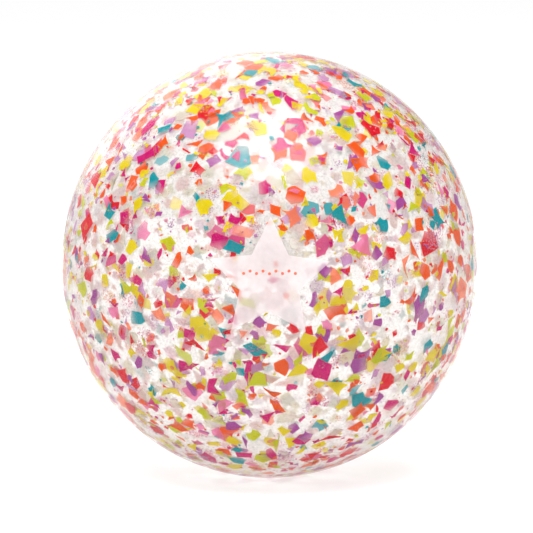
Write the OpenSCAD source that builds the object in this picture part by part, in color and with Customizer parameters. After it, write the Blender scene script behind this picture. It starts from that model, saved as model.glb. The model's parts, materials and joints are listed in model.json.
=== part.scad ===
// Seamless inflatable beach ball: a clear moulded skin with confetti flakes cast into its wall, a star label
// at the front and a recessed safety valve at the back. The origin is the ball's centre, +Z is up, the label
// faces -Y and the valve faces +Y. Sizes are in millimetres.

/* [Ball] */
// Width of the blown-up ball
ball_w = 220; // [200:5:260]
// Height divided by width
tallness = 1.025; // [1.00:0.005:1.05]
// Thickness of the skin
skin_t = 1.2; // [1.2:0.1:2.0]

/* [Flakes] */
// Number of flake places on the whole ball
flake_count = 900; // [300:20:900]
// Radius of the smallest flake
flake_r_min = 2.4; // [1.5:0.1:3.0]
// Radius of the largest flake
flake_r_max = 6.4; // [5.0:0.1:6.4]
// Thickness of one flake
flake_t = 0.08; // [0.05:0.01:0.10]

/* [Label] */
// Radius of the star through its tips
star_r = 30.4; // [24:0.2:34]
// Radius of the star through its notches
star_notch_r = 15; // [11:0.5:18]
// Turn of the star on the ball
star_turn = 1.2; // [-5:0.1:5]
// Number of dots in the row printed on the star
dot_count = 9; // [3:2:9]

/* [Valve] */
// Radius of the hole in the skin
hole_r = 10.6; // [10.4:0.1:11.5]
// Radius of the flange welded round the hole
flange_r = 20; // [17:0.5:24]
// Outer radius of the stem
stem_r = 5.4; // [5.2:0.1:5.6]
// Radius of the bore that takes the pump nozzle
nozzle_r = 3.5; // [3.0:0.1:3.6]
// How far the stem is pulled out for blowing up
stem_travel = 12; // [8:0.5:12]
// Radius of the cap
cap_r = 6.6; // [6.2:0.1:6.8]

/* [Hidden] */

// half axes of the skin's outside, across and up
ball_a = ball_w / 2;
ball_b = ball_a * tallness;
// steps of the half outline, from the bottom pole to the top pole
outline_steps = 120;
$fn = 96;

// Flakes: each colour's share of the places adds up to 1
SHARES = [0.14, 0.16, 0.07, 0.10, 0.11, 0.08, 0.08, 0.07, 0.08, 0.05, 0.06];
// angle between one place and the next on the golden spiral
golden_turn = 180 * (3 - sqrt(5));
// flakes lie in four layers, so that neighbours may cross without meeting
layer_count = 4;
first_depth = 0.21;
layer_pitch = 0.29;
// mean angle between neighbouring places, and the share of it that a place may lie off the spiral
mean_gap = 180 / PI * sqrt(4 * PI / flake_count);
scatter = 0.4;
// a flake has four to six corners, each up to this share of a step past its even place
corner_drift = 0.7;
// least reach of a corner, and least width of a flake, as shares of its radius and its length
corner_reach = 0.75;
slimmest = 0.55;
// share of a flake's radius kept clear of the star, and room kept between a flake and the valve's hole
star_room = 0.75;
hole_room = 1;

// Label: a five-pointed star just proud of the skin, with a wavy row of dots above its middle
star_tips = 5;
label_t = 0.15;
dot_t = 0.1;
dot_r = 0.75;
dot_pitch = 3.1;
dot_wave = 1.2;
dot_rise = 3.9;

// Valve heights are measured along its axis, outwards from the skin's outside
flange_t = 1.0;
web_t = 0.8;
web_clearance = 0.9;
foot_clearance = 0.08;
foot_r = hole_r + web_clearance;
foot_t = 1.2;
// the flange's curve, and a little room between it and the foot of a stem that is pulled right out
foot_room = 1.25;
cap_t = 1.6;
cap_top = -0.1;
cap_base = cap_top - cap_t;
face_gap = 0.05;
mouth_z = cap_base - face_gap;
stem_base = -skin_t - flange_t - foot_room - stem_travel - foot_t;
edge_cut = 0.35;
// how far a cutting tool reaches past what it cuts
overcut = 1;
// room between a disc's edge and the axis of its hinge
hinge_room = 0.8;

// counterbore of the mouth and the tapered plug that fills it
mouth_r = 4.05;
mouth_depth = 4;
plug_r = 3.9;
plug_tip_r = 3.3;
plug_len = 3;

// living hinge between the cap and the stem
cap_hinge_y = cap_r + hinge_room;
cap_hinge_drop = 0.2;
cap_hinge_z = cap_base - cap_hinge_drop;
knuckle_r = 0.65;
knuckle_half_w = 1.4;
knuckle_gap = 0.1;
root_half_w = 2.9;
strap_t = 1.0;
tab_w = 4;
tab_len = 2.1;
tab_overlap = 1.5;

// check flap at the stem's inner end
seat_r = 5.6;
seat_bore_r = 3.9;
seat_t = 0.8;
seat_base = stem_base - seat_t;
flap_r = 4.9;
flap_t = 0.6;
flap_top = seat_base - face_gap;
pin_r = 0.35;
flap_hinge_y = flap_r + hinge_room;
flap_hinge_z = seat_base - pin_r - face_gap;
flap_half_w = 1.5;
seat_half_w = 2.4;

lip_gap = 0.05;
lip_w = 2;
web_r = foot_r + web_t;
web_base = stem_base - lip_gap - web_t;

// ---- Shared shapes ----

// number from 0 to 1 that always comes out the same for the same pair
function noise(i, salt) =
    let (v = 43758.5453 * sin(127.1 * i + 311.7 * salt))
    v - floor(v);

function between(low, high, share) = low + (high - low) * share;

// points of the half outline at a depth below the skin's outside, from the bottom pole to the top pole
function half_outline(depth) = [
    for (i = [0 : outline_steps])
        let (angle = -90 + 180 * i / outline_steps)
        [(ball_a - depth) * cos(angle), (ball_b - depth) * sin(angle)]
];

function reversed(points) = [for (i = [len(points) - 1 : -1 : 0]) points[i]];

// the whole inside of the ball below a depth
module core(depth) {
    rotate_extrude() polygon(half_outline(depth));
}

// the layer of the wall between two depths
module shell(outer_depth, inner_depth) {
    rotate_extrude() polygon(concat(half_outline(outer_depth), reversed(half_outline(inner_depth))));
}

// valve frame: +Z points out of the ball and +Y points up
module at_valve() {
    translate([0, ball_a, 0]) rotate([-90, 0, 0]) rotate([0, 0, 180]) children();
}

module tube(outer_r, inner_r, base, top) {
    translate([0, 0, base]) difference() {
        cylinder(h = top - base, r = outer_r);
        translate([0, 0, -overcut]) cylinder(h = top - base + 2 * overcut, r = inner_r);
    }
}

// a cylinder along X, centred on x = 0
module crosswise(r, half_w) {
    rotate([0, 90, 0]) cylinder(h = 2 * half_w, r = r, center = true, $fn = 24);
}

// ---- Skin ----

module ball_skin() {
    color([0.96, 0.94, 0.93, 0.4]) difference() {
        shell(0, skin_t);
        at_valve() cylinder(h = ball_a / 2, r = hole_r, center = true);
    }
}

// ---- Flakes ----

// unit direction of a flake's place: a golden spiral with some scatter
function place(i) =
    let (
        polar = acos(1 - 2 * (i + 0.5) / flake_count) + scatter * mean_gap * (noise(i, 1) - 0.5),
        turn = golden_turn * i + scatter * mean_gap * (noise(i, 2) - 0.5)
    )
    [sin(polar) * cos(turn), sin(polar) * sin(turn), cos(polar)];

function flake_radius(i) = between(flake_r_min, flake_r_max, pow(noise(i, 3), 0.9));

// index of the colour whose share of the places holds a number from 0 to 1
function colour_at(level, index = 0) =
    index == len(SHARES) - 1 || level < SHARES[index] ? index : colour_at(level - SHARES[index], index + 1);

// corners of one flake: four to six, at uneven angles and distances, drawn out along X
function flake_corners(i) =
    let (
        corners = 4 + floor(3 * noise(i, 5)),
        r = flake_radius(i),
        slimness = between(slimmest, 1, noise(i, 6))
    )
    [
        for (k = [0 : corners - 1])
            let (
                angle = 360 * (k + corner_drift * noise(i, 10 + k)) / corners,
                reach = r * between(corner_reach, 1, noise(i, 20 + k))
            )
            [reach * cos(angle), slimness * reach * sin(angle)]
    ];

// distance from the star's centre to its edge, in a direction measured from a tip
function star_edge(angle) =
    let (
        sector = 360 / star_tips,
        folded = abs(angle - sector * round(angle / sector))
    )
    star_r * star_notch_r * sin(sector / 2)
        / (star_notch_r * sin(sector / 2 - folded) + star_r * sin(folded));

// true where a flake meets neither the star nor the valve's hole
function is_free(i) =
    let (
        p = place(i) * ball_a,
        reach = norm([p.x, p.z]),
        r = flake_radius(i)
    )
    p.y < 0
        ? reach > star_edge(atan2(p.x, p.z) - star_turn) + star_room * r
        : reach > hole_r + r + hole_room;

module flake(i) {
    d = place(i);
    depth = first_depth + layer_pitch * (i % layer_count);
    half_w = ball_a - depth;
    half_h = ball_b - depth;
    slope = [d.x / half_w, d.y / half_w, d.z / half_h];
    translate([half_w * d.x, half_w * d.y, half_h * d.z])
        rotate([0, acos(slope.z / norm(slope)), atan2(slope.y, slope.x)])
            rotate([0, 0, 360 * noise(i, 7)])
                translate([0, 0, -flake_t])
                    linear_extrude(flake_t) polygon(flake_corners(i));
}

module flakes(index, tint) {
    color(tint)
        for (i = [0 : flake_count - 1])
            if (is_free(i) && colour_at(noise(i, 4)) == index) flake(i);
}

// ---- Label ----

function star_points() = [
    for (k = [0 : 2 * star_tips - 1])
        let (
            angle = 90 - star_turn - 180 / star_tips * k,
            r = k % 2 == 0 ? star_r : star_notch_r
        )
        [r * cos(angle), r * sin(angle)]
];

// cuts an upright outline, seen from the front, out of the layer between two depths
module on_front(outer_depth, inner_depth) {
    intersection() {
        shell(outer_depth, inner_depth);
        rotate([90, 0, 0]) linear_extrude(ball_w) children();
    }
}

module star_label() {
    color([0.97, 0.95, 0.95, 0.8]) on_front(-label_t, 0) polygon(star_points());
}

module label_dots() {
    color("tomato") on_front(-label_t - dot_t, -label_t)
        for (k = [0 : dot_count - 1])
            translate([dot_pitch * (k - (dot_count - 1) / 2), dot_rise + dot_wave * (k % 2 - 0.5)])
                circle(r = dot_r, $fn = 32);
}

// ---- Valve: fixed pieces ----

module valve_flange() {
    color("white") difference() {
        intersection() {
            shell(skin_t, skin_t + flange_t);
            at_valve() cylinder(h = ball_a / 2, r = flange_r, center = true);
        }
        at_valve() cylinder(h = ball_a / 2, r = hole_r, center = true);
    }
}

// soft sleeve in its pushed-in shape, from the flange down to a lip under the stem's foot
module valve_web() {
    color("ghostwhite") intersection() {
        core(skin_t + flange_t);
        at_valve() union() {
            tube(web_r, foot_r, web_base, 0);
            tube(web_r, foot_r - lip_w, web_base, web_base + web_t);
        }
    }
}

// ---- Valve: pieces that slide with the stem ----

module valve_stem() {
    color("white") at_valve() difference() {
        tube(stem_r, nozzle_r, stem_base, mouth_z);
        translate([0, 0, mouth_z - mouth_depth]) cylinder(h = mouth_depth + overcut, r = mouth_r);
    }
}

module stem_foot() {
    color("whitesmoke") at_valve() tube(foot_r - foot_clearance, stem_r, stem_base, stem_base + foot_t);
}

// ring that the check flap closes on, with the two outer knuckles of the flap's hinge
module flap_seat() {
    color("gainsboro") at_valve() union() {
        tube(seat_r, seat_bore_r, seat_base, stem_base);
        translate([0, flap_hinge_y, flap_hinge_z]) difference() {
            union() {
                crosswise(pin_r, seat_half_w);
                translate([-seat_half_w, -pin_r, 0])
                    cube([2 * seat_half_w, 2 * pin_r, seat_base + seat_t / 2 - flap_hinge_z]);
                translate([-seat_half_w, -pin_r - hinge_room, seat_base - flap_hinge_z])
                    cube([2 * seat_half_w, hinge_room + 2 * pin_r, seat_t / 2]);
            }
            translate([-flap_half_w - knuckle_gap, -2 * overcut, -2 * overcut])
                cube([2 * (flap_half_w + knuckle_gap), 4 * overcut, 2 * overcut + pin_r + face_gap]);
        }
    }
}

// arms from the stem to the outer knuckles of the cap's hinge
module strap_root() {
    color("white") at_valve() difference() {
        union() {
            translate([0, cap_hinge_y, cap_hinge_z]) crosswise(knuckle_r, root_half_w);
            translate([-root_half_w, 0, cap_hinge_z - knuckle_r])
                cube([2 * root_half_w, cap_hinge_y, knuckle_r]);
        }
        cylinder(h = ball_w, r = stem_r, center = true);
        translate([-knuckle_half_w - knuckle_gap, 0, cap_hinge_z - overcut])
            cube([2 * (knuckle_half_w + knuckle_gap), cap_hinge_y + overcut, 2 * overcut]);
    }
}

// ---- Valve: check flap ----

module check_flap() {
    color("lightgray") at_valve() union() {
        translate([0, 0, flap_top - flap_t]) cylinder(h = flap_t, r = flap_r);
        translate([0, flap_hinge_y, flap_hinge_z]) crosswise(pin_r, flap_half_w);
        translate([-flap_half_w, 0, flap_top - flap_t]) cube([2 * flap_half_w, flap_hinge_y, flap_t]);
    }
}

// ---- Valve: cap ----

module cap_plate() {
    color("white") at_valve() rotate_extrude() polygon([
        [0, cap_base],
        [cap_r - edge_cut, cap_base],
        [cap_r, cap_base + edge_cut],
        [cap_r, cap_top - edge_cut],
        [cap_r - edge_cut, cap_top],
        [0, cap_top]
    ]);
}

module cap_plug() {
    color("whitesmoke") at_valve() translate([0, 0, cap_base - plug_len])
        cylinder(h = plug_len, r1 = plug_tip_r, r2 = plug_r);
}

// tongue from the cap's edge to the middle knuckle of its hinge
module cap_strap() {
    color("white") at_valve() difference() {
        union() {
            translate([0, cap_hinge_y, cap_hinge_z]) crosswise(knuckle_r, knuckle_half_w);
            translate([-knuckle_half_w, cap_r - tab_overlap, cap_base + edge_cut])
                cube([2 * knuckle_half_w, tab_overlap + cap_hinge_y - cap_r + knuckle_r, strap_t - edge_cut]);
            translate([-knuckle_half_w, cap_hinge_y - knuckle_r, cap_hinge_z])
                cube([2 * knuckle_half_w, 2 * knuckle_r, cap_base + strap_t - cap_hinge_z]);
        }
        cylinder(h = ball_w, r = cap_r, center = true);
    }
}

module pull_tab() {
    color("white") at_valve() difference() {
        translate([-tab_w / 2, -cap_r - tab_len, cap_base + edge_cut])
            cube([tab_w, tab_len + tab_overlap, cap_t - 2 * edge_cut]);
        cylinder(h = ball_w, r = cap_r, center = true);
    }
}

ball_skin();
flakes(0, [0.94, 0.43, 0.16]);  // orange_flakes
flakes(1, [0.92, 0.84, 0.20]);  // yellow_flakes
flakes(2, [0.84, 0.84, 0.16]);  // lime_flakes
flakes(3, [0.88, 0.14, 0.25]);  // red_flakes
flakes(4, [0.84, 0.12, 0.51]);  // magenta_flakes
flakes(5, [0.16, 0.67, 0.69]);  // teal_flakes
flakes(6, [0.65, 0.33, 0.65]);  // purple_flakes
flakes(7, [0.78, 0.65, 0.84]);  // lilac_flakes
flakes(8, [0.92, 0.63, 0.75]);  // pink_flakes
flakes(9, [0.96, 0.63, 0.51]);  // salmon_flakes
flakes(10, [0.88, 0.84, 0.80]);  // pearl_flakes
star_label();
label_dots();
valve_flange();
valve_web();
valve_stem();
stem_foot();
flap_seat();
check_flap();
strap_root();
cap_plate();
cap_plug();
cap_strap();
pull_tab();
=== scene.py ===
"""Looks of the confetti beach ball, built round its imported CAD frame.

The ball's centre is the origin, +Z is up, the star label faces -Y and the valve faces +Y. Lengths are in
metres. The CAD's flat flakes become thin chips that follow the skin, with uneven edges, and smaller chips,
crumbs and crackled patches join them.
"""

import json
import math
import random

import bmesh
import bpy
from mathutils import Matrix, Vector


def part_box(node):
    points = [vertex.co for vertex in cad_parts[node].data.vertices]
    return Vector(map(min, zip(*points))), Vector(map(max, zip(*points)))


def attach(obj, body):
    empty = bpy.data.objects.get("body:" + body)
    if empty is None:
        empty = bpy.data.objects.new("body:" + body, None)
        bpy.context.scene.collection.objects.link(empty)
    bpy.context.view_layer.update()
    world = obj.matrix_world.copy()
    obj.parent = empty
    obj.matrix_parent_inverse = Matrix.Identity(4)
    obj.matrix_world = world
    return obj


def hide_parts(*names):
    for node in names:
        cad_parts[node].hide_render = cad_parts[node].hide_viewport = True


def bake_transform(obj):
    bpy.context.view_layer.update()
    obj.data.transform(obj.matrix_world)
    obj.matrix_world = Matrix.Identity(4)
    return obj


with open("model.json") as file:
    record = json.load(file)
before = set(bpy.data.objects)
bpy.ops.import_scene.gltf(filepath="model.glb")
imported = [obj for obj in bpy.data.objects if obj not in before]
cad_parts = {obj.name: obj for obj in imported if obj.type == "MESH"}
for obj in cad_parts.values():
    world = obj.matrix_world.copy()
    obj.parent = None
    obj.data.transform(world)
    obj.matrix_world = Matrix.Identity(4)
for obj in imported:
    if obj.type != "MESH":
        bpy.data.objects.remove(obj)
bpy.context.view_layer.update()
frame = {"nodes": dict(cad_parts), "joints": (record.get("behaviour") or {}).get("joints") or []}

MM = 0.001
# points closer than this are one point, in the CAD's meshes and in those made here
SAME_PLACE = 1e-6
TOUCHING = 1e-7

# ---- Sizes from the frame ----

SKIN_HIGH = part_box("ball_skin")[1]
HALF_W = SKIN_HIGH.x
HALF_H = SKIN_HIGH.z
FLOOR_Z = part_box("ball_skin")[0].z
# the wall's thickness and the valve's hole don't show in a box, so they repeat part.scad
SKIN_T = 1.2 * MM
HOLE_R = 10.6 * MM
FLANGE_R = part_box("valve_flange")[1].x
CAP_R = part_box("cap_plate")[1].x
CAP_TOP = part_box("cap_plate")[1].y
CAP_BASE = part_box("cap_plate")[0].y
STEM_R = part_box("valve_stem")[1].x
STEM_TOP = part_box("valve_stem")[1].y
STEM_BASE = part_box("valve_stem")[0].y
FOOT_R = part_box("stem_foot")[1].x
FOOT_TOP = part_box("stem_foot")[1].y

# ---- Colours of the films, as 0 to 255 ----

FLAKE_COLOURS = {
    "orange": (234, 96, 0),
    "yellow": (228, 210, 2),
    "lime": (206, 208, 0),
    "red": (224, 4, 38),
    "magenta": (212, 4, 124),
    "teal": (2, 162, 172),
    "purple": (178, 82, 166),
    "lilac": (214, 168, 208),
    "pink": (242, 156, 194),
    "salmon": (248, 156, 120),
    "pearl": (226, 219, 208),
}
# how clear each film is: pale ones let more of what lies behind them show
STRONG_FILM = 0.34
PALE_FILM = 0.58
PALE_COLOURS = ("lilac", "pink", "salmon", "pearl")


# ---- Small helpers ----

LATHE_TURNS = 96
# a direction that points up more than this takes its sides from the X axis
STEEP = 0.9


def linear(colour):
    """A colour given as 0 to 255, as the shader's linear numbers, by the sRGB curve."""
    return tuple(((c / 255 + 0.055) / 1.055) ** 2.4 if c > 10 else c / 255 / 12.92 for c in colour)


def on_skin(direction, depth=0.0):
    """The point in a direction from the ball's centre, at a depth below the skin's outside."""
    return Vector((
        (HALF_W - depth) * direction[0],
        (HALF_W - depth) * direction[1],
        (HALF_H - depth) * direction[2],
    ))


def skin_spot(x, z, height, side):
    """The skin's point at (x, z), raised by a height. side is -1 on the label's side and 1 on the valve's."""
    y = side * HALF_W * math.sqrt(1 - (x / HALF_W) ** 2 - (z / HALF_H) ** 2)
    return Vector((x, y, z)) + outwards(Vector((x, y, z))) * height


def outwards(point):
    """The skin's normal next to a point."""
    return Vector((point.x / HALF_W ** 2, point.y / HALF_W ** 2, point.z / HALF_H ** 2)).normalized()


def skin_direction(point):
    """The unit direction that on_skin turns into a point's place."""
    return Vector((point[0] / HALF_W, point[1] / HALF_W, point[2] / HALF_H)).normalized()


def tangents(direction):
    """Two unit vectors across a direction."""
    side = Vector((0, 0, 1)) if abs(direction[2]) < STEEP else Vector((1, 0, 0))
    east = side.cross(direction).normalized()
    return east, direction.cross(east)


def new_object(name, verts, faces):
    """A smooth-shaded object from its points and faces."""
    mesh = bpy.data.meshes.new(name)
    mesh.from_pydata([tuple(v) for v in verts], [], faces)
    return linked_object(mesh)


def linked_object(mesh):
    """An object in the scene that shows a mesh, smooth-shaded, under the mesh's name."""
    mesh.update()
    mesh.polygons.foreach_set("use_smooth", [True] * len(mesh.polygons))
    obj = bpy.data.objects.new(mesh.name, mesh)
    bpy.context.scene.collection.objects.link(obj)
    return obj


def circle(count):
    """Pairs of cosine and sine for evenly spaced places round a circle."""
    turns = [2 * math.pi * k / count for k in range(count)]
    return [(math.cos(turn), math.sin(turn)) for turn in turns]


def strips(rows, count, closed=False):
    """Faces between neighbouring rows of count points each. closed joins the last row to the first."""
    faces = []
    for row in range(rows if closed else rows - 1):
        below = row * count
        above = (row + 1) % rows * count
        for k in range(count):
            n = (k + 1) % count
            faces.append((below + k, above + k, above + n, below + n))
    return faces


def lathe(name, profile):
    """A turned piece round the valve's axis. profile is a closed outline of (radius, y)."""
    verts = [(radius * c, y, radius * s) for radius, y in profile for c, s in circle(LATHE_TURNS)]
    obj = new_object(name, verts, strips(len(profile), LATHE_TURNS, closed=True))
    tidy_mesh(obj)
    return obj


def tidy_mesh(obj):
    """Joins points that meet, drops faces with no area and turns all faces outwards."""
    bm = bmesh.new()
    bm.from_mesh(obj.data)
    bmesh.ops.remove_doubles(bm, verts=bm.verts, dist=TOUCHING)
    bmesh.ops.dissolve_degenerate(bm, edges=bm.edges, dist=TOUCHING)
    bmesh.ops.recalc_face_normals(bm, faces=bm.faces)
    bm.to_mesh(obj.data)
    bm.free()


def finish_piece(obj, body, material, slot, *nodes):
    """Gives a piece its material, hides the CAD nodes that it stands for and hangs it on the body it rides
    on. slot is not used.
    """
    obj.data.materials.append(material)
    if nodes:
        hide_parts(*nodes)
    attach(obj, body)
    return obj


# ---- Camera ----

# the camera stands on the label's side, a little above the ball's middle
CAMERA_DISTANCE = 1.1
CAMERA_RISE = math.radians(3.9)
# share of the picture's width that the ball fills, and how far the ball lies off the picture's middle
BALL_SHARE = 0.7805
SHIFT_X = -0.0058
SHIFT_Y = -0.0032
SENSOR_W = 36
NEAREST_SEEN = 10 * MM


def make_camera():
    """The photograph's view: level with the ball but for a small rise, and a little off its middle."""
    data = bpy.data.cameras.new("camera")
    camera = bpy.data.objects.new("camera", data)
    bpy.context.scene.collection.objects.link(camera)
    camera.location = (0, -CAMERA_DISTANCE * math.cos(CAMERA_RISE), CAMERA_DISTANCE * math.sin(CAMERA_RISE))
    camera.rotation_euler = (math.pi / 2 - CAMERA_RISE, 0, 0)
    half_angle = math.asin(HALF_W / CAMERA_DISTANCE)
    data.sensor_width = SENSOR_W
    data.lens = data.sensor_width * BALL_SHARE / (2 * math.tan(half_angle))
    data.shift_x = SHIFT_X
    data.shift_y = SHIFT_Y
    data.clip_start = NEAREST_SEEN
    bpy.context.scene.camera = camera


make_camera()


# ---- Materials ----

class Nodes:
    """A short way to write a material's nodes."""

    def __init__(self, name):
        self.material = bpy.data.materials.new(name)
        self.material.use_nodes = True
        self.tree = self.material.node_tree
        self.tree.nodes.clear()

    def add(self, kind, settings=None, **inputs):
        """A new node. An input's name is written with _ for each space."""
        node = self.tree.nodes.new(kind)
        for key, value in (settings or {}).items():
            setattr(node, key, value)
        for key, value in inputs.items():
            self.put(node.inputs[key.replace("_", " ")], value)
        return node

    def put(self, socket, value):
        """Links another node's output to a socket, or sets the socket's own value."""
        if isinstance(value, bpy.types.NodeSocket):
            self.tree.links.new(value, socket)
        elif isinstance(value, tuple) and len(value) == 3 and socket.type == "RGBA":
            socket.default_value = (*value, 1)
        else:
            socket.default_value = value

    def mix(self, share, first, second):
        node = self.tree.nodes.new("ShaderNodeMixShader")
        self.put(node.inputs[0], share)
        self.put(node.inputs[1], first)
        self.put(node.inputs[2], second)
        return node.outputs[0]

    def mix_colour(self, share, first, second):
        node = self.tree.nodes.new("ShaderNodeMix")
        node.data_type = "RGBA"
        self.put(node.inputs[0], share)
        self.put(node.inputs[6], first)
        self.put(node.inputs[7], second)
        return node.outputs[2]

    def math(self, kind, first, second=0.0, third=0.0):
        node = self.tree.nodes.new("ShaderNodeMath")
        node.operation = kind
        self.put(node.inputs[0], first)
        self.put(node.inputs[1], second)
        self.put(node.inputs[2], third)
        return node.outputs[0]

    def spread(self, value, low, high, from_low=0.0, from_high=1.0):
        """Stretches a range of a value to low and high, and holds it there beyond."""
        node = self.add("ShaderNodeMapRange")
        self.put(node.inputs[0], value)
        for index, number in enumerate((from_low, from_high, low, high), start=1):
            node.inputs[index].default_value = number
        return node.outputs[0]

    def noise(self, scale, detail=2.0, roughness=0.5):
        """Noise over the piece's own place, with scale in repeats per metre."""
        place = self.add("ShaderNodeTexCoord").outputs["Object"]
        node = self.add("ShaderNodeTexNoise", Vector=place, Scale=scale, Detail=detail, Roughness=roughness)
        return node.outputs["Fac"]

    def bump(self, height, strength, distance):
        return self.add("ShaderNodeBump", Height=height, Strength=strength, Distance=distance).outputs[0]

    def mirrored(self, head_on, aslant):
        """Share that a smooth face mirrors, by Schlick's fifth power, the same from either side."""
        facing = self.add("ShaderNodeLayerWeight", Blend=0.5).outputs["Facing"]
        return self.math("MULTIPLY_ADD", self.math("POWER", facing, 5.0), aslant, head_on)

    def attribute(self, name):
        return self.add("ShaderNodeAttribute", {"attribute_name": name}).outputs["Fac"]

    def done(self, shader):
        """The finished material."""
        out = self.tree.nodes.new("ShaderNodeOutputMaterial")
        self.tree.links.new(shader, out.inputs["Surface"])
        return self.material


def white_haze(n, colour, normal):
    """Milkiness in the plastic: it scatters light to both sides."""
    return n.mix(
        0.5,
        n.add("ShaderNodeBsdfDiffuse", Color=colour, Normal=normal).outputs[0],
        n.add("ShaderNodeBsdfTranslucent", Color=colour, Normal=normal).outputs[0],
    )


def skin_outside_material():
    """The skin's outside: glossy clear PVC with fine specks, which pales where it is seen aslant."""
    n = Nodes("clear_pvc_outside")
    waves = n.noise(scale=28, detail=2)
    grain = n.noise(scale=800, detail=4, roughness=0.7)
    normal = n.bump(n.math("MULTIPLY_ADD", grain, 0.06, waves), strength=0.3, distance=0.8 * MM)
    aslant = n.add("ShaderNodeLayerWeight", Blend=0.5).outputs["Facing"]
    edge = n.math("POWER", aslant, 10)
    specks = n.spread(grain, low=0.0, high=0.06, from_low=0.5, from_high=0.7)
    haze = white_haze(n, linear((254, 250, 248)), normal)
    clear = n.add("ShaderNodeBsdfTransparent", Color=(0.995, 0.995, 0.993)).outputs[0]
    body = n.mix(n.math("MULTIPLY_ADD", edge, 0.5, specks), clear, haze)
    roughness = n.spread(waves, low=0.10, high=0.24, from_low=0.3, from_high=0.7)
    gloss = n.add("ShaderNodeBsdfGlossy", Roughness=roughness, Normal=normal)
    return n.done(n.mix(n.mirrored(head_on=0.028, aslant=0.55), body, gloss.outputs[0]))


def skin_inside_material():
    """The milky inner face of the skin: it pales what lies beyond it, and its fine grain shades it."""
    n = Nodes("milky_pvc_inside")
    clouds = n.noise(scale=45, detail=3, roughness=0.6)
    grain = n.noise(scale=900, detail=5, roughness=0.75)
    normal = n.bump(clouds, strength=0.15, distance=0.5 * MM)
    dark_grain = n.spread(grain, low=0.0, high=1.0, from_low=0.4, from_high=0.64)
    milk_colour = n.mix_colour(dark_grain, linear((255, 255, 253)), linear((194, 193, 191)))
    aslant = n.add("ShaderNodeLayerWeight", Blend=0.5).outputs["Facing"]
    edge = n.math("MULTIPLY", n.math("POWER", aslant, 3), 0.3)
    cloudy = n.math("MULTIPLY_ADD", grain, 0.6, n.math("MULTIPLY", clouds, 0.4))
    milk_share = n.math("ADD", edge, n.spread(cloudy, low=0.40, high=0.68, from_low=0.35, from_high=0.65))
    clear = n.add("ShaderNodeBsdfTransparent", Color=(0.995, 0.993, 0.99)).outputs[0]
    body = n.mix(milk_share, clear, white_haze(n, milk_colour, normal))
    roughness = n.spread(clouds, low=0.15, high=0.3, from_low=0.3, from_high=0.7)
    gloss = n.add("ShaderNodeBsdfGlossy", Roughness=roughness, Normal=normal)
    return n.done(n.mix(n.mirrored(head_on=0.015, aslant=0.4), body, gloss.outputs[0]))


def film_colour(n, colour, mottle, tone, rim, fade):
    """A film's colour, paler with its tone, in blotches and where it fades, with a painted edge highlight of
    pale warm white at its rim.
    """
    base = linear(colour)
    pastel = tuple(c + 0.5 * (1 - c) for c in base)
    body = n.mix_colour(n.spread(tone, low=0.0, high=0.85, from_low=0.55, from_high=1.0), base, pastel)
    body = n.mix_colour(n.spread(mottle, low=0.0, high=0.08, from_low=0.45, from_high=0.75), body, pastel)
    body = n.mix_colour(n.math("MULTIPLY", fade, 0.7), body, linear((253, 238, 236)))
    # painted edge highlight: the rim is mixed halfway towards pale warm white
    return n.mix_colour(n.math("MULTIPLY", rim, 0.5), body, linear((254, 246, 212)))


def flake_material(name, colour, clearness):
    """Thin tinted film: partly see-through, with a painted edge highlight at its rim, and clearer towards one
    side on some chips.
    """
    n = Nodes(f"{name}_film")
    rim = n.attribute("rim")
    fade = n.attribute("fade")
    mottle = n.noise(scale=350, detail=3, roughness=0.6)
    body = film_colour(n, colour, mottle, n.attribute("tone"), rim, fade)
    fine = n.bump(mottle, strength=0.2, distance=0.1 * MM)
    film = n.mix(
        0.25,
        n.add("ShaderNodeBsdfDiffuse", Color=body, Normal=fine).outputs[0],
        n.add("ShaderNodeBsdfTranslucent", Color=body, Normal=fine).outputs[0],
    )
    shine = n.add("ShaderNodeBsdfGlossy", Roughness=n.spread(mottle, low=0.2, high=0.4), Normal=fine)
    film = n.mix(n.mirrored(head_on=0.01, aslant=0.3), film, shine.outputs[0])
    # a ray meets both faces of a chip, so each face takes the square root of its colour
    tint = n.add("ShaderNodeGamma", Color=body, Gamma=0.5).outputs[0]
    see = n.add("ShaderNodeBsdfTransparent", Color=tint).outputs[0]
    # the rim, which also carries the painted edge highlight, and the faded side are clearer
    clear_rim_and_fade = n.math("MULTIPLY_ADD", rim, 0.15, n.math("MULTIPLY", fade, 0.5))
    thin = n.math("MULTIPLY_ADD", mottle, 0.2, clear_rim_and_fade)
    return n.done(n.mix(n.spread(thin, low=clearness, high=0.94, from_low=0.05, from_high=0.7), film, see))


def label_material():
    """Frosted white film with a soft grain."""
    n = Nodes("frosted_film")
    clouds = n.noise(scale=120, detail=4, roughness=0.6)
    grain = n.noise(scale=2600, detail=2)
    normal = n.bump(grain, strength=0.35, distance=0.08 * MM)
    colour = n.mix_colour(clouds, linear((250, 242, 243)), linear((246, 234, 239)))
    frost = white_haze(n, colour, normal)
    shine = n.add("ShaderNodeBsdfGlossy", Roughness=n.spread(clouds, low=0.35, high=0.5), Normal=normal)
    frost = n.mix(n.mirrored(head_on=0.02, aslant=0.5), frost, shine.outputs[0])
    see = n.add("ShaderNodeBsdfTransparent", Color=(0.99, 0.98, 0.98)).outputs[0]
    return n.done(n.mix(n.spread(clouds, low=0.30, high=0.42, from_low=0.3, from_high=0.7), frost, see))


def ink_material():
    """Coral ink, slightly uneven."""
    n = Nodes("coral_ink")
    patches = n.noise(scale=900, detail=3)
    patchy = n.spread(patches, low=0, high=1, from_low=0.35, from_high=0.65)
    colour = n.mix_colour(patchy, linear((240, 78, 74)), linear((246, 128, 84)))
    roughness = n.spread(patches, low=0.35, high=0.6)
    node = n.add("ShaderNodeBsdfPrincipled", Base_Color=colour, Roughness=roughness)
    n.put(node.inputs["Normal"], n.bump(patches, strength=0.2, distance=0.05 * MM))
    return n.done(node.outputs[0])


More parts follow.
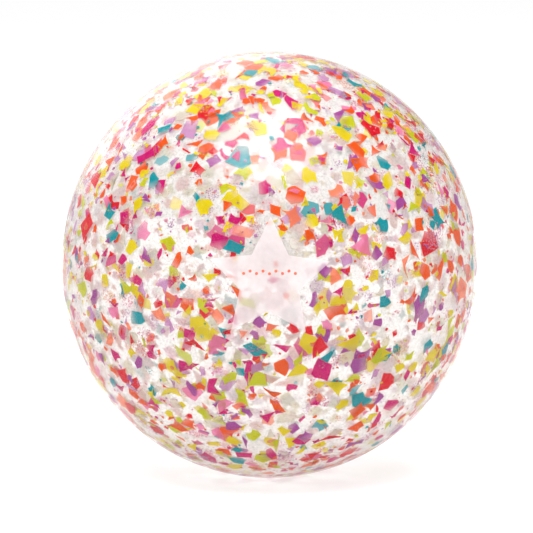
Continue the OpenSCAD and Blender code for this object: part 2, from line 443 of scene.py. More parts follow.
def pvc_material(name, colour, clear_share):
    """Soft white PVC of the valve: satin, faintly see-through, with moulding grain."""
    n = Nodes(name)
    clouds = n.noise(scale=220, detail=4, roughness=0.6)
    grain = n.noise(scale=3000, detail=2)
    shade = n.mix_colour(clouds, linear(colour), linear(tuple(c * 0.96 for c in colour)))
    normal = n.bump(n.math("MULTIPLY_ADD", grain, 0.3, clouds), strength=0.3, distance=0.15 * MM)
    roughness = n.spread(clouds, low=0.28, high=0.45)
    solid = n.add("ShaderNodeBsdfPrincipled", Base_Color=shade, Roughness=roughness)
    n.put(solid.inputs["Normal"], normal)
    glow = n.add("ShaderNodeBsdfTranslucent", Color=shade, Normal=normal)
    see = n.add("ShaderNodeBsdfTransparent", Color=(0.96, 0.96, 0.955)).outputs[0]
    return n.done(n.mix(clear_share, n.mix(0.5, solid.outputs[0], glow.outputs[0]), see))


def floor_material():
    """Pale matte studio floor that reads as white, so that only the ball's soft shadow shows on it."""
    n = Nodes("studio_floor")
    clouds = n.noise(scale=3, detail=3)
    colour = n.mix_colour(clouds, (0.48, 0.48, 0.48), (0.50, 0.50, 0.50))
    matte = n.add("ShaderNodeBsdfDiffuse", Color=colour, Roughness=0.5).outputs[0]
    glow = n.add("ShaderNodeEmission", Color=(1, 1, 1), Strength=0.66).outputs[0]
    join = n.add("ShaderNodeAddShader")
    n.put(join.inputs[0], matte)
    n.put(join.inputs[1], glow)
    return n.done(join.outputs[0])


# ---- Skin ----

SKIN_RINGS = 120
SKIN_SEGMENTS = 208
RIM_STEPS = 6


def skin_row(polar, depth):
    """One ring of the skin, at an angle from the valve's axis."""
    across, along = math.sin(polar), math.cos(polar)
    return [on_skin((across * c, along, across * s), depth) for c, s in circle(SKIN_SEGMENTS)]


def make_skin():
    """The closed wall: its outside, a rounded rim round the valve's hole, and its milky inside."""
    first = math.asin(HOLE_R / HALF_W)
    rim = math.asin((HOLE_R + SKIN_T / 2) / HALF_W)
    angles = [rim + (math.pi - rim) * k / SKIN_RINGS for k in range(SKIN_RINGS)]
    rows = [skin_row(a, 0) for a in reversed(angles)]
    for k in range(1, RIM_STEPS):
        turn = math.pi * k / RIM_STEPS
        depth = SKIN_T / 2 * (1 - math.cos(turn))
        rows.append(skin_row(rim - (rim - first) * math.sin(turn), depth))
    inside_from = len(rows)
    rows += [skin_row(a, SKIN_T) for a in angles]
    verts = [v for row in rows for v in row]
    front = len(verts)
    verts += [on_skin((0, -1, 0)), on_skin((0, -1, 0), SKIN_T)]
    faces = strips(len(rows), SKIN_SEGMENTS)
    inside = [int(face[0] >= inside_from * SKIN_SEGMENTS) for face in faces]
    last = (len(rows) - 1) * SKIN_SEGMENTS
    for k in range(SKIN_SEGMENTS):
        n = (k + 1) % SKIN_SEGMENTS
        faces += [(front, n, k), (front + 1, last + k, last + n)]
        inside += [0, 1]
    skin = new_object("ball_skin_wall", verts, faces)
    skin.data.materials.append(skin_outside_material())
    skin.data.materials.append(skin_inside_material())
    skin.data.polygons.foreach_set("material_index", inside)
    tidy_mesh(skin)
    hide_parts("ball_skin")
    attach(skin, "ball")


make_skin()


# ---- Flakes ----

FILM_T = 0.08 * MM
# a chip's rim of painted edge highlight, and the bevel round its edge with the share of that painted
# highlight it carries
HIGHLIGHT_RIM_W = 0.35 * MM
LEAST_INNER = 0.3
BEVEL = 0.985
BEVEL_HIGHLIGHT = 0.8
# how far a crumb narrows towards its top, and the share of painted edge highlight at its foot
CRUMB_TOP = 0.9
CRUMB_FOOT_HIGHLIGHT = 0.4


class FlakeMesh:
    """Collects many thin chips into one mesh, with a tone, a rim number for the painted edge highlight and a
    fade number at each point.
    """

    def __init__(self):
        self.verts = []
        self.faces = []
        self.tone = []
        self.rim = []
        self.fade = []

    def ring(self, points, frame_of, scale, depth, tone, rim, fade):
        """Adds the points of an outline at a scale and a depth. fade is (x, y), the way the chip clears."""
        centre, east, north = frame_of
        start = len(self.verts)
        for x, y in points:
            spot = centre + east * (x * scale) + north * (y * scale)
            self.verts.append(on_skin(skin_direction(spot), depth))
            self.tone.append(tone)
            self.rim.append(rim)
            self.fade.append(min(1.0, max(0.0, x * scale * fade[0] + y * scale * fade[1])))
        return start

    def band(self, low, high, count):
        """Faces between two rings, given by their first points."""
        for k in range(count):
            n = (k + 1) % count
            self.faces.append((low + k, low + n, high + n, high + k))

    def fan(self, centre, ring, count, upwards):
        """Faces between a ring and its centre."""
        for k in range(count):
            n = (k + 1) % count
            self.faces.append((centre, ring + k, ring + n) if upwards else (centre, ring + n, ring + k))

    def add(self, direction, points, depth, tone, fade=(0, 0)):
        """Adds one chip. points is its outline, anticlockwise, in metres across the skin."""
        frame_of = (on_skin(direction), *tangents(direction))
        count = len(points)
        reach = max(math.hypot(x, y) for x, y in points)
        inner = max(LEAST_INNER, 1 - HIGHLIGHT_RIM_W / reach)
        back = depth + FILM_T
        rows = (
            (inner, depth, 0), (BEVEL, depth, BEVEL_HIGHLIGHT), (1, depth + FILM_T / 2, 1),
            (BEVEL, back, BEVEL_HIGHLIGHT), (inner, back, 0),
        )
        top_centre = self.ring([(0, 0)], frame_of, 1, depth, tone, 0, fade)
        rings = [self.ring(points, frame_of, scale, level, tone, rim, fade) for scale, level, rim in rows]
        low_centre = self.ring([(0, 0)], frame_of, 1, back, tone, 0, fade)
        self.fan(top_centre, rings[0], count, True)
        for upper, lower in zip(rings, rings[1:]):
            self.band(lower, upper, count)
        self.fan(low_centre, rings[-1], count, False)

    def add_bit(self, direction, points, depth, tone):
        """Adds a crumb: a plain thin prism."""
        frame_of = (on_skin(direction), *tangents(direction))
        count = len(points)
        top = self.ring(points, frame_of, CRUMB_TOP, depth, tone, 0, (0, 0))
        low = self.ring(points, frame_of, 1, depth + FILM_T, tone, CRUMB_FOOT_HIGHLIGHT, (0, 0))
        self.faces.append(tuple(range(top, top + count)))
        self.faces.append(tuple(reversed(range(low, low + count))))
        self.band(low, top, count)

    def build(self, name):
        """The finished object, with its numbers as attributes for the film's material."""
        obj = new_object(name, self.verts, self.faces)
        for key, values in (("tone", self.tone), ("rim", self.rim), ("fade", self.fade)):
            attribute = obj.data.attributes.new(key, "FLOAT", "POINT")
            attribute.data.foreach_set("value", values)
        return obj


# steps between the points along a chip's sides, how far its corners are cut and how far its sides wander
CAD_CHIP_STEP = 0.9 * MM
SMALL_CHIP_STEP = 0.7 * MM
FEWEST_STEPS = 3
BLUNT = 0.2
WANDER = 0.10 * MM
BOWED_SHARE = 0.4
# how far a side bows, as shares of its length: below 0 inwards and above 0 outwards
BOWED = (-0.28, 0.14)
NEARLY_STRAIGHT = (-0.03, 0.03)


def ragged(corners, rng, step):
    """The outline of a cut chip: its corners a little blunt and its sides a little uneven or bowed."""
    points = []
    count = len(corners)
    for k in range(count):
        ax, ay = corners[k]
        bx, by = corners[(k + 1) % count]
        length = math.hypot(bx - ax, by - ay)
        steps = max(FEWEST_STEPS, math.ceil(length / step))
        bow = rng.uniform(*(BOWED if rng.random() < BOWED_SHARE else NEARLY_STRAIGHT))
        for s in range(steps):
            t = (s + BLUNT) / (steps - 1 + 2 * BLUNT)
            off = length * bow * math.sin(math.pi * t) + rng.uniform(-WANDER, WANDER)
            px = ax + (bx - ax) * t + (by - ay) / length * off
            py = ay + (by - ay) * t - (bx - ax) / length * off
            points.append((px, py))
    return points


def islands(node):
    """The corner points of each separate solid in a CAD node."""
    bm = bmesh.new()
    bm.from_mesh(frame["nodes"][node].data)
    bmesh.ops.remove_doubles(bm, verts=bm.verts, dist=SAME_PLACE)
    seen = set()
    found = []
    for start in bm.verts:
        if start in seen:
            continue
        stack, island = [start], []
        seen.add(start)
        while stack:
            vert = stack.pop()
            island.append(vert.co.copy())
            near = {edge.other_vert(vert) for edge in vert.link_edges} - seen
            seen |= near
            stack += near
        island.sort(key=tuple)
        found.append(island)
    bm.free()
    found.sort(key=lambda island: tuple(island[0]))
    return found


def middle_of(points):
    """The mean of some points."""
    return sum(points, Vector()) / len(points)


def cad_chips(node):
    """Each flake of a CAD node as (direction, corners, depth)."""
    chips = []
    for island in islands(node):
        middle = middle_of(island)
        direction = skin_direction(middle)
        east, north = tangents(direction)
        upper = sorted(island, key=lambda p: -p.dot(outwards(middle)))[:len(island) // 2]
        middle = middle_of(upper)
        corners = [((p - middle).dot(east), (p - middle).dot(north)) for p in upper]
        corners.sort(key=lambda c: math.atan2(c[1], c[0]))
        depth = (on_skin(skin_direction(middle)) - middle).length
        chips.append((skin_direction(middle), corners, depth))
    return chips


# waves over the ball that make the flakes crowd: each wave's three rates and its start
CROWD_WAVES = (((11, 4, 0), 1), ((0, 10, -5), 3), ((4, 0, 12), 5))
# least share of flakes in the emptiest places
LEAST_CROWD = 0.35


def crowding(direction):
    """Number from 0 to 1 that changes slowly over the ball."""
    waves = [math.sin(Vector(rates).dot(direction) + start) for rates, start in CROWD_WAVES]
    return (1 + sum(waves) / len(waves)) / 2


def random_direction(rng):
    """A direction, more often where the flakes happen to lie close."""
    while True:
        up = rng.uniform(-1, 1)
        turn = rng.uniform(0, 2 * math.pi)
        across = math.sqrt(1 - up * up)
        direction = Vector((across * math.cos(turn), across * math.sin(turn), up))
        if rng.random() < LEAST_CROWD + (1 - LEAST_CROWD) * crowding(direction):
            return direction


# how far a small chip's corner drifts, in shares of the angle between two, and how near the middle it can lie
CORNER_DRIFT = 0.6
CORNER_REACH = 0.55


def random_corners(rng, reach, fewest, most, slimmest):
    """Corners of a small chip, at uneven angles and distances, drawn out one way."""
    count = rng.randint(fewest, most)
    slim = rng.uniform(slimmest, 1)
    spin = rng.uniform(0, 2 * math.pi)
    corners = []
    for k in range(count):
        angle = 2 * math.pi * (k + rng.uniform(0, CORNER_DRIFT)) / count
        far = reach * rng.uniform(CORNER_REACH, 1)
        x = far * math.cos(angle)
        y = slim * far * math.sin(angle)
        corners.append((x * math.cos(spin) - y * math.sin(spin), x * math.sin(spin) + y * math.cos(spin)))
    return corners


# the star label's outline, as in part.scad
STAR_TIPS = 5
STAR_R = 30.4 * MM
STAR_NOTCH_R = 15 * MM
STAR_TURN = math.radians(1.2)


def star_edge(angle):
    """Distance from the star's middle to its edge, in a direction measured from its top tip."""
    sector = 2 * math.pi / STAR_TIPS
    folded = abs(angle - sector * round(angle / sector))
    span = STAR_NOTCH_R * math.sin(sector / 2 - folded) + STAR_R * math.sin(folded)
    return STAR_R * STAR_NOTCH_R * math.sin(sector / 2) / span


def is_clear(direction, reach, under_star=0.0):
    """True where a chip stays off the valve's hole, and off the star but for under_star of its reach."""
    spot = on_skin(direction)
    across = math.hypot(spot.x, spot.z)
    if spot.y > 0:
        return across > HOLE_R + reach + SKIN_T
    return across > star_edge(math.atan2(spot.x, spot.z) - STAR_TURN) + (1 - under_star) * reach


# how many chips and crumbs of each colour join the CAD's own flakes
SMALL_CHIPS = {
    "orange": 540, "yellow": 540, "lime": 260, "red": 370, "magenta": 390, "teal": 100,
    "purple": 180, "lilac": 150, "pink": 150, "salmon": 100, "pearl": 150,
}
CRUMBS = {
    "orange": 330, "yellow": 380, "lime": 180, "red": 280, "magenta": 330, "teal": 190,
    "purple": 260, "lilac": 420, "pink": 480, "salmon": 330, "pearl": 260,
}
# crackled patches, each a flake that has shattered into small bits
PATCHES = {"pink": 170, "lilac": 120, "salmon": 80, "yellow": 60, "purple": 60, "magenta": 80, "teal": 20}
SLIVER_SHARE = 0.28
FADE_SHARE = 0.45
# depths of the added chips
SHALLOWEST = 0.10 * MM
DEEPEST = 1.0 * MM
# chips below DEEP can lie anywhere behind the star. The others reach this share of their size under its edge.
DEEP = 0.6 * MM
ANYWHERE = 20
TUCKED = 0.8
PATCH_TUCKED = 0.5
# a chip's tone is its depth in the skin, changed by a random amount in this range
TONE_DRIFT = (-0.4, 0.1)
# millimetres from a piece's middle to its farthest corner: the least and the most
SLIVER_REACH = (2.5, 6.5)
PATCH_REACH = (2.5, 6.5)
# or the least, how much more there can be, and a power: the higher it is, the more of them are small
CHIP_REACH = (2.2, 7.0, 1.3)
CRUMB_REACH = (0.5, 1.3, 1.8)
# fewest and most corners, and the least width for its length
SLIVER_SHAPE = (3, 4, 0.2)
CHIP_SHAPE = (3, 5, 0.45)
CRUMB_SHAPE = (4, 6, 0.55)
BIT_SHAPE = (3, 5, 0.4)
# a patch's bits lie on a jittered grid. Its pitch and depth are in millimetres.
PATCH_PITCH = (0.8, 1.2)
PATCH_DEPTH = (0.3, 0.9)
PATCH_TONE = (0.6, 1)
PATCH_SLIM = (0.5, 1)
# the patch ends at this share of its reach, and loses this share of its bits
PATCH_END = (0.6, 1)
PATCH_GAPS = 0.1
# how far a bit drifts and how far it reaches, in pitches, and how far it lies off the patch's depth
BIT_DRIFT = (-0.4, 0.4)
BIT_REACH = (0.45, 0.8)
BIT_LIFT = (-0.12, 0.12)


def skewed(rng, least, more, power):
    """A random number that is more often near the least."""
    return least + more * rng.random() ** power


def random_depth(rng):
    """A depth for one of the added chips."""
    return rng.uniform(SHALLOWEST, DEEPEST)


def deep_tone(rng, depth):
    """A chip's tone: those that lie deeper in the milky wall look paler."""
    return min(1.0, max(0.0, depth / SKIN_T + rng.uniform(*TONE_DRIFT)))


def random_fade(rng, reach):
    """The way in which a chip clears, for some of the chips, per metre across it."""
    if rng.random() > FADE_SHARE:
        return (0, 0)
    turn = rng.uniform(0, 2 * math.pi)
    return (math.cos(turn) / reach, math.sin(turn) / reach)


def add_small_chip(mesh, rng):
    """A chip or a narrow sliver at a random place, left out where it would lie in the hole or on the star."""
    direction = random_direction(rng)
    is_sliver = rng.random() < SLIVER_SHARE
    reach = (rng.uniform(*SLIVER_REACH) if is_sliver else skewed(rng, *CHIP_REACH)) * MM
    corners = random_corners(rng, reach, *(SLIVER_SHAPE if is_sliver else CHIP_SHAPE))
    depth = random_depth(rng)
    if is_clear(direction, reach, ANYWHERE if depth > DEEP else TUCKED):
        outline = ragged(corners, rng, SMALL_CHIP_STEP)
        mesh.add(direction, outline, depth, deep_tone(rng, depth), random_fade(rng, reach))


def add_crumb(mesh, rng):
    """A crumb at a random place, left out as a chip is."""
    direction = random_direction(rng)
    reach = skewed(rng, *CRUMB_REACH) * MM
    if is_clear(direction, reach):
        crumb = random_corners(rng, reach, *CRUMB_SHAPE)
        mesh.add_bit(direction, crumb, random_depth(rng), tone=rng.random())


def add_patch(mesh, rng):
    """A crackled patch: small bits of one colour with fine gaps between them."""
    middle = random_direction(rng)
    reach = rng.uniform(*PATCH_REACH) * MM
    if not is_clear(middle, reach, PATCH_TUCKED):
        return
    origin = on_skin(middle)
    east, north = tangents(middle)
    spin = rng.uniform(0, math.pi)
    along = east * math.cos(spin) + north * math.sin(spin)
    across = north * math.cos(spin) - east * math.sin(spin)
    pitch = rng.uniform(*PATCH_PITCH) * MM
    depth = rng.uniform(*PATCH_DEPTH) * MM
    tone = rng.uniform(*PATCH_TONE)
    slim = rng.uniform(*PATCH_SLIM)
    steps = math.ceil(reach / pitch)
    for row in range(-steps, steps + 1):
        for column in range(-steps, steps + 1):
            x = (column + 0.5 * (row % 2) + rng.uniform(*BIT_DRIFT)) * pitch
            y = (row + rng.uniform(*BIT_DRIFT)) * pitch
            is_past_end = math.hypot(x, y / slim) > reach * rng.uniform(*PATCH_END)
            if is_past_end or rng.random() < PATCH_GAPS:
                continue
            bit = random_corners(rng, rng.uniform(*BIT_REACH) * pitch, *BIT_SHAPE)
            bit_depth = depth + rng.uniform(*BIT_LIFT) * MM
            mesh.add_bit(skin_direction(origin + along * x + across * y), bit, bit_depth, tone)


# each colour has a seed of its own, from this one up
FIRST_SEED = 100


def make_flakes(colour, seed):
    """One colour's two pieces: the CAD's flakes with the small chips, and the crumbs with the patches."""
    rng = random.Random(seed)
    clearness = PALE_FILM if colour in PALE_COLOURS else STRONG_FILM
    material = flake_material(colour, FLAKE_COLOURS[colour], clearness)
    node = f"{colour}_flakes"
    chips = FlakeMesh()
    for direction, corners, depth in cad_chips(node):
        reach = max(math.hypot(*c) for c in corners)
        outline = ragged(corners, rng, CAD_CHIP_STEP)
        chips.add(direction, outline, depth, deep_tone(rng, depth), random_fade(rng, reach))
    for _ in range(SMALL_CHIPS[colour]):
        add_small_chip(chips, rng)
    finish_piece(chips.build(f"{colour}_flake_chips"), "ball", material, node, node)
    crumbs = FlakeMesh()
    for _ in range(CRUMBS[colour]):
        add_crumb(crumbs, rng)
    for _ in range(PATCHES.get(colour, 0)):
        add_patch(crumbs, rng)
    finish_piece(crumbs.build(f"{colour}_crumbs"), "ball", material, node)


for index, colour_name in enumerate(FLAKE_COLOURS):
    make_flakes(colour_name, FIRST_SEED + index)


# ---- Star label ----

LABEL_T = 0.15 * MM
LABEL_TURNS = 240
LABEL_RINGS = 16
# the rings of the film lie closer near its edge, and the last ones round the edge off
RING_POWER = 0.8
FLAT_TO = 0.992
EDGE_ROWS = ((0.999, LABEL_T * 0.7), (1.0, 0.0))
DOT_TURNS = 28
DOT_R = 0.75 * MM
DOT_RISE = 0.1 * MM
# a dot's shares of its radius and of its rise, from its foot up
DOT_PROFILE = ((1.0, 0.0), (0.97, 0.6), (0.88, 0.92), (0.5, 1.0))


def front_point(x, z, height):
    """The skin's point at (x, z) on the label's side, raised by a height."""
    return skin_spot(x, z, height, -1)


def make_star():
    """The frosted film, which follows the skin."""
    shares = [min((ring / LABEL_RINGS) ** RING_POWER, FLAT_TO) for ring in range(1, LABEL_RINGS + 1)]
    rows = [(share, LABEL_T) for share in shares] + list(EDGE_ROWS)
    verts = [front_point(0, 0, LABEL_T)]
    for share, height in rows:
        for k in range(LABEL_TURNS):
            angle = 2 * math.pi * k / LABEL_TURNS
            r = share * star_edge(angle)
            turn = angle + STAR_TURN
            verts.append(front_point(r * math.sin(turn), r * math.cos(turn), height))
    faces = [(0, 1 + k, 1 + (k + 1) % LABEL_TURNS) for k in range(LABEL_TURNS)]
    faces += [tuple(1 + point for point in face) for face in strips(len(rows), LABEL_TURNS)]
    star = new_object("star_label_film", verts, faces)
    finish_piece(star, "ball", label_material(), "frosted_label", "star_label")


def dot_mesh(middle, start):
    """Points and faces of one raised dot. start is the number of its first point."""
    verts = []
    for share, rise in DOT_PROFILE:
        for c, s in circle(DOT_TURNS):
            x = middle.x + DOT_R * share * c
            z = middle.z + DOT_R * share * s
            verts.append(front_point(x, z, LABEL_T + DOT_RISE * rise))
    verts.append(front_point(middle.x, middle.z, LABEL_T + DOT_RISE))
    faces = [tuple(start + point for point in reversed(face)) for face in strips(len(DOT_PROFILE), DOT_TURNS)]
    last = start + (len(DOT_PROFILE) - 1) * DOT_TURNS
    top = last + DOT_TURNS
    faces += [(last + k, last + (k + 1) % DOT_TURNS, top) for k in range(DOT_TURNS)]
    return verts, faces


def make_dots():
    """A plain wavy row of raised ink dots, one on each of the CAD's."""
    verts, faces = [], []
    for island in islands("label_dots"):
        dot_verts, dot_faces = dot_mesh(middle_of(island), len(verts))
        verts += dot_verts
        faces += dot_faces
    dots = new_object("label_dot_row", verts, faces)
    finish_piece(dots, "ball", ink_material(), "coral_print", "label_dots")


make_star()
make_dots()


# ---- Valve ----

# The valve isn't in the photograph: these are the sizes of a usual recessed safety valve, as in part.scad.
FLANGE_T = 1.0 * MM
FLANGE_TURNS = 160
FLANGE_BEVEL = 0.2 * MM
WELD_RINGS = (13.6 * MM, 18.2 * MM)
WELD_RISE = 0.25 * MM
# a weld ring's outline across its top, in shares of its rise
WELD_PROFILE = ((-2, 0), (-1.2, 1), (0, 1.2), (1.2, 1), (2, 0))
# the sleeve's thickness, and how far its end stays off the flange
WEB_FILM = 0.6 * MM
WEB_END = 0.2 * MM
STRAP_T = 0.5 * MM
STRAP_HALF_W = 1.4 * MM
# places across the strap, closer near its edges
STRAP_RIBS = (-1, -0.86, -0.6, 0, 0.6, 0.86, 1)
# steps of a smooth curve between two corners
CURVE_STEPS = 6
# steps of a rounded corner, and the most of each side that it takes
CORNER_STEPS = 4
CORNER_SHARE = 0.45
# sizes of the stem in millimetres, as the outlines of all turned pieces are
BORE_R = 3.5
MOUTH_R = 4.05
MOUTH_DEPTH = 4
# the grip groove's distance below the mouth, and the depth of both grooves
GROOVE_BELOW = 5
GROOVE = 0.3
# radii of the pieces' rounded corners
STEM_ROUND = 0.25
CAP_ROUND = 0.3
PLUG_ROUND = 0.2


def above_skin(y):
    """A place on the valve's axis as millimetres outwards from the skin's outside."""
    return (y - HALF_W) / MM


def rounded(corners, radius):
    """A closed outline with each corner turned into a small curve."""
    points = []
    count = len(corners)
    for k in range(count):
        here, before, after = (Vector(corners[i % count]) for i in (k, k - 1, k + 1))
        start = here + (before - here) * min(CORNER_SHARE, radius / (before - here).length)
        end = here + (after - here) * min(CORNER_SHARE, radius / (after - here).length)
        for s in range(CORNER_STEPS + 1):
            t = s / CORNER_STEPS
            points.append(tuple(start * (1 - t) ** 2 + here * (2 * t * (1 - t)) + end * t * t))
    return points


def turned(name, corners_mm, radius_mm, body, material, slot, *nodes):
    """A turned piece of the valve, from corners of (radius, millimetres above the skin)."""
    outline = rounded([(r * MM, HALF_W + above * MM) for r, above in corners_mm], radius_mm * MM)
    return finish_piece(lathe(name, outline), body, material, slot, *nodes)


def thick_line(points, thickness):
    """The closed outline of a line given some thickness."""
    sides = ([], [])
    for k, point in enumerate(points):
        along = (Vector(points[min(k + 1, len(points) - 1)]) - Vector(points[max(k - 1, 0)])).normalized()
        across = Vector((-along.y, along.x)) * thickness / 2
        sides[0].append(tuple(Vector(point) + across))
        sides[1].append(tuple(Vector(point) - across))
    return sides[0] + sides[1][::-1]


def smooth_line(corners):
    """Points of a Catmull-Rom curve through some corners."""
    ends = [corners[0], *corners, corners[-1]]
    points = []
    for k in range(len(corners) - 1):
        p0, p1, p2, p3 = (Vector(p) for p in ends[k:k + 4])
        for s in range(CURVE_STEPS):
            t = s / CURVE_STEPS
            points.append(tuple(
                0.5 * (2 * p1 + (p2 - p0) * t + (2 * p0 - 5 * p1 + 4 * p2 - p3) * t * t
                       + (3 * p1 - p0 - 3 * p2 + p3) * t ** 3)
            ))
    points.append(tuple(corners[-1]))
    return points


def flange_profile():
    """The flange's closed outline as (radius, depth below the skin's outside)."""
    low = SKIN_T + FLANGE_T
    profile = [
        (HOLE_R, SKIN_T + FLANGE_BEVEL), (HOLE_R, low - FLANGE_BEVEL), (HOLE_R + FLANGE_BEVEL, low),
    ]
    for ring in WELD_RINGS:
        profile += [(ring + WELD_RISE * across, low + WELD_RISE * rise) for across, rise in WELD_PROFILE]
    return profile + [
        (FLANGE_R - 2 * FLANGE_BEVEL, low), (FLANGE_R - FLANGE_BEVEL / 2, low - 1.5 * FLANGE_BEVEL),
        (FLANGE_R, low - 3 * FLANGE_BEVEL), (FLANGE_R, SKIN_T), ((FLANGE_R + HOLE_R) / 2, SKIN_T),
        (HOLE_R + FLANGE_BEVEL, SKIN_T),
    ]


def make_flange(material):
    """The disc welded inside the skin round the hole, with two raised weld rings on its inner side."""
    profile = flange_profile()
    verts = [skin_spot(r * c, r * s, -depth, 1) for r, depth in profile for c, s in circle(FLANGE_TURNS)]
    flange = new_object("valve_flange_disc", verts, strips(len(profile), FLANGE_TURNS, closed=True))
    tidy_mesh(flange)
    finish_piece(flange, "ball", material, "soft_white_pvc", "valve_flange")


def make_web(material):
    """The soft sleeve between flange and foot, which widens downwards."""
    top = HALF_W - SKIN_T - FLANGE_T - WEB_END
    low = STEM_BASE - WEB_FILM
    corners = [
        (11.7 * MM, top), (11.9 * MM, top - 3 * MM), (12.5 * MM, top - 8 * MM), (13.1 * MM, top - 12 * MM),
        (13.2 * MM, low + 0.6 * MM), (12.4 * MM, low - 0.15 * MM), (11.2 * MM, low), (9.6 * MM, low),
    ]
    web = lathe("valve_web_sleeve", thick_line(smooth_line(corners), WEB_FILM))
    web.data.materials.append(material)
    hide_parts("valve_web")
    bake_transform(web)


def make_stem(material):
    """The tube, with a grip groove below its mouth, and the foot, with a groove in its upper side."""
    top, base = above_skin(STEM_TOP), above_skin(STEM_BASE)
    r = STEM_R / MM
    step = top - MOUTH_DEPTH
    groove = top - GROOVE_BELOW
    turned("valve_stem_tube", [
        (MOUTH_R, top), (r, top), (r, groove), (r - GROOVE, groove - 0.4), (r - GROOVE, groove - 1),
        (r, groove - 1.4), (r, base), (BORE_R, base), (BORE_R, step), (MOUTH_R, step),
    ], STEM_ROUND, "stem", material, "white_pvc", "valve_stem")
    foot = FOOT_R / MM
    foot_top = above_skin(FOOT_TOP)
    turned("stem_foot_disc", [
        (r, base), (foot, base), (foot, foot_top), (foot - 1.4, foot_top),
        (foot - 1.7, foot_top - GROOVE), (foot - 3.4, foot_top - GROOVE), (foot - 3.7, foot_top),
        (r + 0.9, foot_top), (r, foot_top + 0.9),
    ], STEM_ROUND, "stem", material, "white_pvc", "stem_foot")


def make_cap(material):
    """The cap's disc with a raised rim and a small moulding mark, and its hollow plug with a sealing bead."""
    top, base = above_skin(CAP_TOP), above_skin(CAP_BASE)
    r = CAP_R / MM
    turned("cap_disc", [
        (0, base), (r, base), (r, top), (r - 1.1, top), (r - 1.5, top - 0.4), (1.9, top - 0.4),
        (1.6, top - 0.15), (0.5, top - 0.15), (0.4, top - 0.3), (0, top - 0.3),
    ], CAP_ROUND, "cap", material, "white_pvc", "cap_plate")
    turned("cap_plug_hollow", [
        (2.3, base), (3.85, base), (3.98, base - 0.6), (3.75, base - 1.1), (3.3, base - 3), (2.6, base - 3),
        (2.3, base - 1),
    ], PLUG_ROUND, "cap", material, "white_pvc", "cap_plug")


def make_strap(material):
    """The living hinge: a thin strip that loops round the hinge's axis from the stem to the cap."""
    hinge_y, hinge_z = hinge_place("cap_hinge")
    corners = [
        (hinge_z - 1.9 * MM, hinge_y - 0.35 * MM), (hinge_z - 0.4 * MM, hinge_y - 0.4 * MM),
        (hinge_z + 0.6 * MM, hinge_y - 0.15 * MM), (hinge_z + 0.7 * MM, hinge_y + 0.35 * MM),
        (hinge_z + 0.3 * MM, hinge_y + 0.8 * MM), (hinge_z - 1.1 * MM, hinge_y + 1.0 * MM),
    ]
    outline = thick_line(smooth_line(corners), STRAP_T)
    count = len(outline)
    verts = [(rib * STRAP_HALF_W, y, z) for rib in STRAP_RIBS for z, y in outline]
    faces = strips(len(STRAP_RIBS), count)
    for first in (0, (len(STRAP_RIBS) - 1) * count):
        last = first + count - 1
        faces += [(first + k, first + k + 1, last - k - 1, last - k) for k in range(count // 2 - 1)]
    strap = new_object("cap_strap_band", verts, faces)
    tidy_mesh(strap)
    strap.data.materials.append(material)
    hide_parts("cap_strap")
    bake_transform(strap)


def hinge_place(name):
    """A joint's place along the valve's axis and up."""
    place = next(j for j in frame["joints"] if j["name"] == name)["pos_m"]
    return place[1], place[2]


def soft_box(bm, low, high, bevel):
    """Adds a box with rounded edges."""
    made = bmesh.ops.create_cube(bm, size=1)["verts"]
    for vert in made:
        for axis in range(3):
            vert.co[axis] = low[axis] if vert.co[axis] < 0 else high[axis]
    edges = list({edge for vert in made for edge in vert.link_edges})
    bmesh.ops.bevel(bm, geom=edges, offset=bevel, segments=4, profile=0.5, affect="EDGES")


TAB_BEVEL = 0.3 * MM
# how far the tab reaches into the cap's disc
TAB_ROOT = 0.3 * MM
# the grip ribs: how many, the first one's place from the tab's end, and the way from one to the next
TAB_RIBS = 3
FIRST_RIB = 0.55 * MM
RIB_PITCH = 0.5 * MM
RIB_HALF_T = 0.12 * MM
RIB_BEVEL = 0.1 * MM
# how far below the tab's outer side a rib starts, and its length as a share of the tab's width
RIB_FOOT = 0.4 * MM
RIB_SHARE = 0.75


def make_tab(material):
    """The pull tab, with grip ribs on its outer side."""
    low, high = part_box("pull_tab")
    bm = bmesh.new()
    soft_box(bm, low, (high.x, high.y - RIB_HALF_T, high.z + TAB_ROOT), TAB_BEVEL)
    for k in range(TAB_RIBS):
        z = low.z + FIRST_RIB + RIB_PITCH * k
        rib_low = (low.x * RIB_SHARE, high.y - RIB_FOOT, z - RIB_HALF_T)
        rib_high = (high.x * RIB_SHARE, high.y, z + RIB_HALF_T)
        soft_box(bm, rib_low, rib_high, RIB_BEVEL)
    mesh = bpy.data.meshes.new("pull_tab_ribbed")
    bm.to_mesh(mesh)
    bm.free()
    finish_piece(linked_object(mesh), "cap", material, "white_pvc", "pull_tab")


def dress(name, material):
    """Gives a CAD node that keeps its shape a finished material."""
    obj = frame["nodes"][name]
    for place in obj.material_slots:
        place.material = material


def make_valve():
    """All pieces of the valve, in stiff white, soft white and clear PVC."""
    white = pvc_material("white_valve_pvc", (240, 239, 236), clear_share=0.08)
    soft = pvc_material("soft_valve_pvc", (246, 245, 242), clear_share=0.6)
    film = pvc_material("clear_flap_film", (236, 238, 238), clear_share=0.4)
    make_flange(soft)
    make_web(soft)
    make_stem(white)
    make_cap(white)
    make_strap(white)
    make_tab(white)
    dress("flap_seat", white)
    dress("strap_root", white)
    dress("check_flap", film)


make_valve()


# ---- Studio ----

# soft lamps in the world: the way each lies, the cosines of its outer and inner edge, and its brightness
SOFT_LAMPS = (
    ((-0.03, -0.34, 0.94), (0.875, 0.955), 9.2),
    ((-0.34, 0.73, 0.6), (0.82, 0.98), 3.0),
)
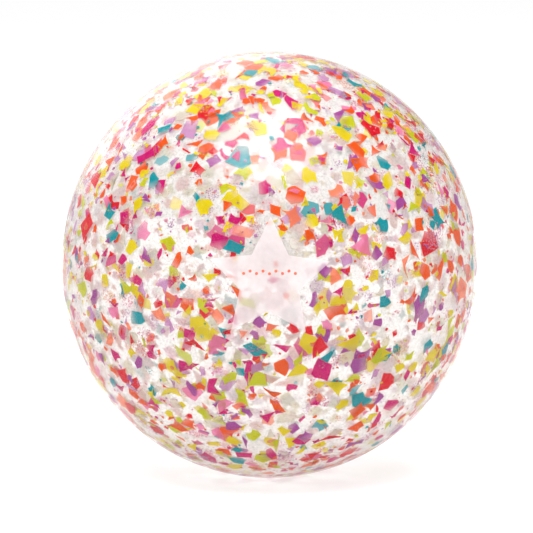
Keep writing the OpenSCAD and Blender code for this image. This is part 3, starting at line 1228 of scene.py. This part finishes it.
# the room is white along the horizon and dimmer from there to its ceiling
HORIZON_LIGHT = 1.02
CEILING_LIGHT = 0.27
HORIZON_TOP = 0.5
FLOOR_HALF = 3.0
SEE_THROUGH_BOUNCES = 32
LIGHT_BOUNCES = 6
DIFFUSE_BOUNCES = 3


def make_world():
    """A white room with broad soft lamps overhead and behind."""
    world = bpy.data.worlds.new("studio")
    bpy.context.scene.world = world
    world.use_nodes = True
    tree = world.node_tree
    background = tree.nodes["Background"]
    way_out = tree.nodes.new("ShaderNodeTexCoord").outputs["Generated"]
    total = world_ramp(tree, way_out, (0, 0, 1), (0, HORIZON_TOP), (HORIZON_LIGHT, CEILING_LIGHT))
    for way, edges, power in SOFT_LAMPS:
        lamp = world_ramp(tree, way_out, way, edges, (0, power))
        add = tree.nodes.new("ShaderNodeMath")
        tree.links.new(lamp, add.inputs[0])
        tree.links.new(total, add.inputs[1])
        total = add.outputs[0]
    tree.links.new(total, background.inputs["Strength"])
    background.inputs["Color"].default_value = (1, 1, 1, 1)


def world_ramp(tree, way_out, way, edges, powers):
    """Light that changes smoothly with the cosine between a ray and a way."""
    dot = tree.nodes.new("ShaderNodeVectorMath")
    dot.operation = "DOT_PRODUCT"
    tree.links.new(way_out, dot.inputs[0])
    dot.inputs[1].default_value = Vector(way).normalized()
    ramp = tree.nodes.new("ShaderNodeMapRange")
    ramp.interpolation_type = "SMOOTHSTEP"
    tree.links.new(dot.outputs["Value"], ramp.inputs["Value"])
    for socket, number in zip(ramp.inputs[1:5], (*edges, *powers)):
        socket.default_value = number
    return ramp.outputs["Result"]


def make_studio():
    """The room, its floor and how light is carried through the many thin films."""
    make_world()
    corners = [(x * FLOOR_HALF, y * FLOOR_HALF, FLOOR_Z) for x, y in ((-1, -1), (1, -1), (1, 1), (-1, 1))]
    floor = new_object("studio_floor", corners, [(0, 1, 2, 3)])
    floor.data.materials.append(floor_material())
    scene = bpy.context.scene
    scene.view_settings.view_transform = "Standard"
    scene.view_settings.look = "None"
    scene.cycles.transparent_max_bounces = SEE_THROUGH_BOUNCES
    scene.cycles.max_bounces = LIGHT_BOUNCES
    scene.cycles.diffuse_bounces = DIFFUSE_BOUNCES


make_studio()
